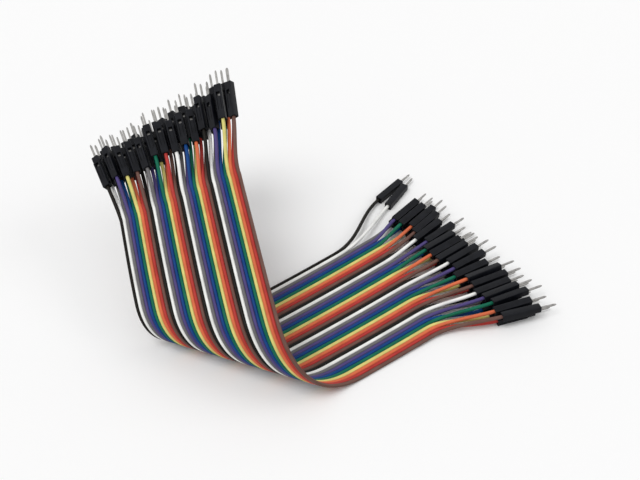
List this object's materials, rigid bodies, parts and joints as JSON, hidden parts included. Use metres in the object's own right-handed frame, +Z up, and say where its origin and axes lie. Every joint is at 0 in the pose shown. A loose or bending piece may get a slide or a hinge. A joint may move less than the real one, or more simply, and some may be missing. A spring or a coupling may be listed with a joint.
{
  "type": "breadboard jumper wire",
  "caption": "Flat rainbow ribbon of breadboard jumper leads with a moulded housing and a square pin at both ends of each, lying folded on a table.",
  "frame": {"origin": "under the middle of the whole part, on the table it lies on", "axes": "+Z up from the table, +X towards the lying end of the ribbon, +Y from the fold towards the raised end"},
  "size_m": [0.1604, 0.1134, 0.059],
  "materials": {
    "black_insulation": "satin",
    "white_insulation": "satin",
    "grey_insulation": "satin",
    "purple_insulation": "satin",
    "blue_insulation": "satin",
    "green_insulation": "satin",
    "yellow_insulation": "satin",
    "orange_insulation": "satin",
    "red_insulation": "satin",
    "brown_insulation": "satin",
    "housing_plastic": "satin",
    "plated_pin": "bright"
  },
  "bodies": {
    "root": {"jumper_lead_01_black": "black_insulation", "jumper_lead_02_white": "white_insulation", "jumper_lead_03_grey": "grey_insulation", "jumper_lead_04_purple": "purple_insulation", "jumper_lead_05_blue": "blue_insulation", "jumper_lead_06_green": "green_insulation", "jumper_lead_07_yellow": "yellow_insulation", "jumper_lead_08_orange": "orange_insulation", "jumper_lead_09_red": "red_insulation", "jumper_lead_10_brown": "brown_insulation", "jumper_lead_11_black": "black_insulation", "jumper_lead_12_white": "white_insulation", "jumper_lead_13_grey": "grey_insulation", "jumper_lead_14_purple": "purple_insulation", "jumper_lead_15_blue": "blue_insulation", "jumper_lead_16_green": "green_insulation", "jumper_lead_17_yellow": "yellow_insulation", "jumper_lead_18_orange": "orange_insulation", "jumper_lead_19_red": "red_insulation", "jumper_lead_20_brown": "brown_insulation", "jumper_lead_21_black": "black_insulation", "jumper_lead_22_white": "white_insulation", "jumper_lead_23_grey": "grey_insulation", "jumper_lead_24_purple": "purple_insulation", "jumper_lead_25_blue": "blue_insulation", "jumper_lead_26_green": "green_insulation", "jumper_lead_27_yellow": "yellow_insulation", "jumper_lead_28_orange": "orange_insulation", "jumper_lead_29_red": "red_insulation", "jumper_lead_30_brown": "brown_insulation", "jumper_lead_31_black": "black_insulation", "jumper_lead_32_white": "white_insulation", "jumper_lead_33_grey": "grey_insulation", "jumper_lead_34_purple": "purple_insulation", "jumper_lead_35_blue": "blue_insulation", "jumper_lead_36_green": "green_insulation", "jumper_lead_37_yellow": "yellow_insulation", "jumper_lead_38_orange": "orange_insulation", "jumper_lead_39_red": "red_insulation", "jumper_lead_40_brown": "brown_insulation"}
  },
  "joints": []
}
